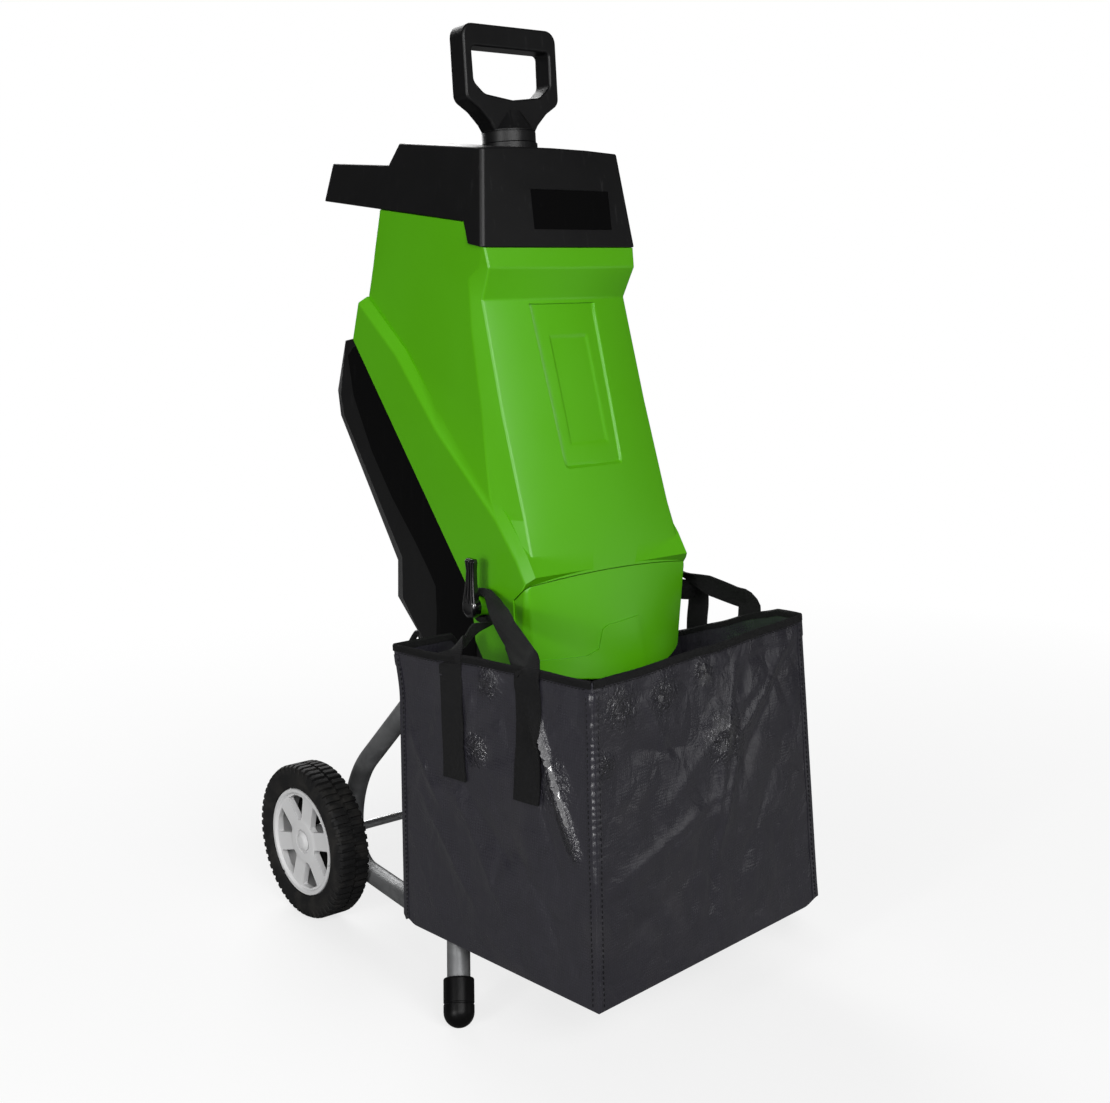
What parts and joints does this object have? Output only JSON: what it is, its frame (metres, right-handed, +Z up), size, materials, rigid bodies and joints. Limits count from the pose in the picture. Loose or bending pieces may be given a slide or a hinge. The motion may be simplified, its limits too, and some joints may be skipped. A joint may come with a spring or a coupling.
{
  "type": "electric garden shredder",
  "caption": "Wheeled electric garden shredder: green tower with black hopper hood and plunger, tilted black motor housing, tube stand and hung cloth bag.",
  "frame": {"origin": "centre of the footprint's bounding box, on the floor", "axes": "+Z up, -Y towards the bag in front, +Y towards the wheels behind, +X to the machine's right seen from behind"},
  "size_m": [0.5106, 0.647, 1.0548],
  "materials": {
    "black_plastic": "moulded black plastic",
    "cap_rubber": "black rubber",
    "cloth": "black coated woven cloth",
    "gloss_black": "glossy black plastic",
    "green_plastic": "moulded green plastic with a light sheen",
    "grey_plastic": "light grey plastic",
    "laminations": "laminated core with copper windings",
    "red_plastic": "red plastic",
    "rubber": "black treaded tyre",
    "shell_plastic": "fine-textured black plastic",
    "steel": "machined steel",
    "tube_paint": "grey powder-coated steel tube",
    "webbing": "black woven webbing"
  },
  "bodies": {
    "base": {"axle": "steel", "axle_cap_left": "black_plastic", "axle_cap_right": "black_plastic", "base_housing": "shell_plastic", "bearing_front": "steel", "bearing_rear": "steel", "deck_plate": "steel", "end_shield": "steel", "foot_cap_left": "cap_rubber", "foot_cap_right": "cap_rubber", "frame_lug_left": "black_plastic", "frame_lug_right": "black_plastic", "front_leg_left": "tube_paint", "front_leg_right": "tube_paint", "hinge_pin": "steel", "mains_inlet": "black_plastic", "motor_case": "steel", "rear_tube_left": "tube_paint", "rear_tube_right": "tube_paint", "safety_switch": "black_plastic", "stator_core": "laminations", "switch_module": "black_plastic", "tube_socket_left": "black_plastic", "tube_socket_right": "black_plastic"},
    "spindle": {"motor_shaft": "steel", "cooling_fan": "black_plastic", "rotor_core": "laminations", "blade_disc": "steel", "disc_nut": "steel", "knife_a": "steel", "knife_b": "steel", "knife_screw_1": "steel", "knife_screw_2": "steel", "knife_screw_3": "steel", "knife_screw_4": "steel"},
    "upper": {"upper_housing": "green_plastic", "hopper_hood": "black_plastic", "hopper_throat": "black_plastic", "discharge_cover": "green_plastic", "counter_blade": "steel", "lever_hub_left": "green_plastic", "lever_hub_right": "green_plastic", "housing_screw_left": "steel", "housing_screw_right": "steel"},
    "plunger": {"plunger_handle": "black_plastic", "plunger_shaft": "black_plastic"},
    "lever_left": {"locking_lever_left": "gloss_black"},
    "lever_right": {"locking_lever_right": "gloss_black"},
    "wheel_left": {"tyre_left": "rubber", "wheel_hub_left": "grey_plastic"},
    "wheel_right": {"tyre_right": "rubber", "wheel_hub_right": "grey_plastic"},
    "on_key": {"on_button": "green_plastic"},
    "off_key": {"off_button": "red_plastic"},
    "reset_key": {"reset_button": "red_plastic"},
    "bag": {"collection_bag": "cloth", "strap_left": "webbing", "strap_right": "webbing"}
  },
  "joints": [
    {"name": "spindle_spin", "type": "hinge", "parent": "base", "child": "spindle", "pos_m": [0, 0.04588, 0.47699], "axis": [0, 0.766, -0.6428], "continuous": true},
    {"name": "housing_tilt", "type": "hinge", "parent": "base", "child": "upper", "pos_m": [0, 0.2485, 0.7135], "axis": [-1, 0, 0], "range_deg": [0, 35]},
    {"name": "plunger_slide", "type": "slide", "parent": "upper", "child": "plunger", "axis": [0, 0.0872, 0.9962], "range_m": [0, 0.24]},
    {"name": "lever_left_turn", "type": "hinge", "parent": "upper", "child": "lever_left", "pos_m": [0, -0.0255, 0.4225], "axis": [-1, 0, 0], "range_deg": [0, 90]},
    {"name": "lever_right_turn", "type": "hinge", "parent": "upper", "child": "lever_right", "pos_m": [0, -0.0255, 0.4225], "axis": [-1, 0, 0], "range_deg": [0, 90]},
    {"name": "wheel_left_spin", "type": "hinge", "parent": "base", "child": "wheel_left", "pos_m": [-0.1978, 0.2285, 0.095], "axis": [1, 0, 0], "continuous": true},
    {"name": "wheel_right_spin", "type": "hinge", "parent": "base", "child": "wheel_right", "pos_m": [0.1978, 0.2285, 0.095], "axis": [1, 0, 0], "continuous": true},
    {"name": "bag_swing", "type": "hinge", "parent": "upper", "child": "bag", "pos_m": [0, -0.0255, 0.4225], "axis": [-1, 0, 0], "range_deg": [0, 18]},
    {"name": "on_press", "type": "slide", "parent": "base", "child": "on_key", "axis": [0, -0.9329, -0.3601], "range_m": [0, 0.002], "stiffness_N_per_m": 500},
    {"name": "off_press", "type": "slide", "parent": "base", "child": "off_key", "axis": [0, -0.9329, -0.3601], "range_m": [0, 0.002], "stiffness_N_per_m": 500},
    {"name": "reset_press", "type": "slide", "parent": "base", "child": "reset_key", "axis": [0, -0.9329, -0.3601], "range_m": [0, 0.002], "stiffness_N_per_m": 500}
  ]
}
